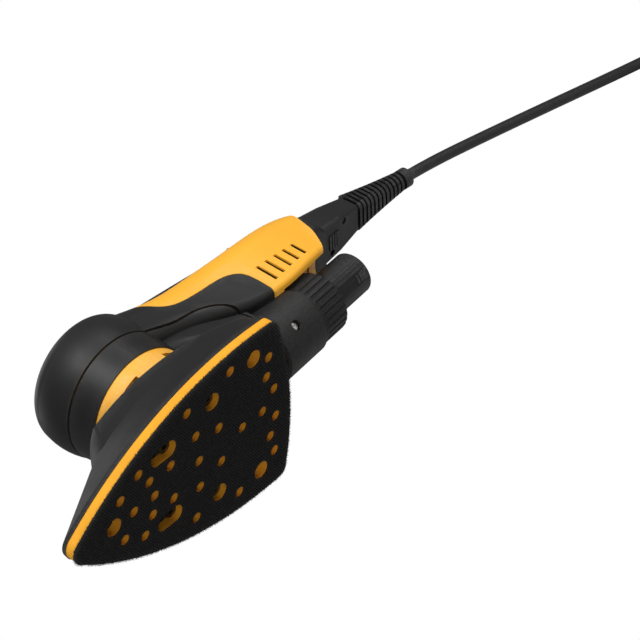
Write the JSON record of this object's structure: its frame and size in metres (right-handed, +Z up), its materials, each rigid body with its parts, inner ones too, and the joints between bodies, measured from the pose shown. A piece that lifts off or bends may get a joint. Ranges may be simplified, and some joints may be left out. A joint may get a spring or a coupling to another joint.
{
  "type": "orbital sander",
  "caption": "Low hand-held electric orbital sander: pointed foam pad on an orbiting base, round motor head, rear handle with paddle lever, swivelling dust outlet and mains lead.",
  "frame": {"origin": "on the sole, below the motor shaft", "axes": "+Z up out of the pad, -Y to the pad's tip, +Y to the handle and lead, +X to the tool's left"},
  "size_m": [0.1622, 0.7008, 0.098],
  "materials": {
    "bearing_steel": "ground",
    "bright_screw": "zinc plated",
    "button_black": "matte",
    "cap_black": "satin moulded",
    "capacitor_can": "sleeved can",
    "cast_aluminium": "as cast",
    "cast_weight": "cast",
    "circuit_board": "solder resist",
    "collar_black": "knurled, matte",
    "connector_black": "satin moulded",
    "copper_wire": "enamelled wire",
    "dark_screw": "black oxide",
    "foam_yellow": "closed-cell foam",
    "hard_black": "satin moulded",
    "hook_fabric": "ribbed hook fabric",
    "lamination_steel": "stacked sheets",
    "lead_rubber": "satin",
    "lens_green": "translucent",
    "magnet_plating": "nickel plated",
    "pad_black": "fine spark-eroded texture",
    "pin_brass": "plated",
    "plug_black": "fine texture",
    "plug_rubber": "satin",
    "relief_rubber": "satin",
    "screen_black": "dense dust felt",
    "shaft_steel": "ground",
    "soft_black": "soft-touch, satin",
    "spring_wire": "drawn wire",
    "support_rubber": "matte",
    "switch_black": "moulded",
    "tie_fabric": "hook-and-loop strap",
    "yellow_plastic": "satin moulded"
  },
  "bodies": {
    "housing": {"motor_base": "yellow_plastic", "lower_bearing": "bearing_steel", "upper_bearing": "bearing_steel", "stator_core": "lamination_steel", "stator_windings": "copper_wire", "motor_can": "cast_aluminium", "grip_overmould": "soft_black", "lower_casing": "hard_black", "housing_left": "yellow_plastic", "housing_right": "yellow_plastic", "vent_screens": "screen_black", "case_screws": "bright_screw", "top_cap": "cap_black", "lever_pin": "shaft_steel", "keypad_plate": "cap_black", "status_lens": "lens_green", "control_board": "circuit_board", "micro_switch": "switch_black", "capacitor": "capacitor_can", "heat_sink": "cast_aluminium", "outlet_barrel": "hard_black", "outlet_screws": "bright_screw", "outlet_seal": "support_rubber", "inlet_housing": "hard_black", "inlet_pins": "pin_brass", "lead_plug": "plug_black", "plug_screws": "dark_screw", "strain_relief": "relief_rubber", "lead_tube": "lead_rubber", "lead_coil": "lead_rubber", "lead_tail": "lead_rubber", "coil_tie": "tie_fabric", "mains_plug": "plug_rubber", "mains_plug_pins": "pin_brass"},
    "rotor": {"eccentric_shaft": "shaft_steel", "counterweight": "cast_weight", "rotor_core": "lamination_steel", "rotor_magnets": "magnet_plating"},
    "pad": {"hook_sheet": "hook_fabric", "pad_foam": "foam_yellow", "pad_base": "pad_black", "pad_carrier": "cast_aluminium", "pad_screws": "dark_screw", "pad_bearing": "bearing_steel", "pad_supports": "support_rubber"},
    "lever": {"paddle_lever": "hard_black", "lever_spring": "spring_wire"},
    "power": {"power_button": "button_black"},
    "speed_up": {"speed_up_button": "button_black"},
    "speed_down": {"speed_down_button": "button_black"},
    "swivel": {"hose_connector": "connector_black", "swivel_collar": "collar_black"},
    "latch": {"plug_latch": "plug_black"}
  },
  "joints": [
    {"name": "motor_spin", "type": "hinge", "parent": "housing", "child": "rotor", "pos_m": [0, 0, 0.05], "axis": [0, 0, 1], "continuous": true},
    {"name": "pad_orbit", "type": "hinge", "parent": "rotor", "child": "pad", "pos_m": [0, 0.0015, 0.015], "axis": [0, 0, 1], "continuous": true},
    {"name": "lever_press", "type": "hinge", "parent": "housing", "child": "lever", "pos_m": [0, 0.108, 0.0872], "axis": [1, 0, 0], "range_deg": [0, 3.5], "stiffness_Nm_per_rad": 1.2, "springref_deg": -3.44, "deforming": ["lever_spring"]},
    {"name": "power_press", "type": "slide", "parent": "housing", "child": "power", "axis": [0, 0, -1], "range_m": [0, 0.001], "stiffness_N_per_m": 600, "springref_m": -0.0005},
    {"name": "speed_up_press", "type": "slide", "parent": "housing", "child": "speed_up", "axis": [0, 0, -1], "range_m": [0, 0.001], "stiffness_N_per_m": 600, "springref_m": -0.0005},
    {"name": "speed_down_press", "type": "slide", "parent": "housing", "child": "speed_down", "axis": [0, 0, -1], "range_m": [0, 0.001], "stiffness_N_per_m": 600, "springref_m": -0.0005},
    {"name": "hose_swivel", "type": "hinge", "parent": "housing", "child": "swivel", "pos_m": [0, 0.1007, 0.034], "axis": [0, 0.9965, 0.0837], "continuous": true},
    {"name": "latch_press", "type": "slide", "parent": "housing", "child": "latch", "axis": [0, 0, 1], "range_m": [0, 0.0008], "stiffness_N_per_m": 600, "springref_m": -0.0004}
  ],
  "couplings": [
    {"joint": "pad_orbit", "follows": "motor_spin", "ratio": -1}
  ]
}
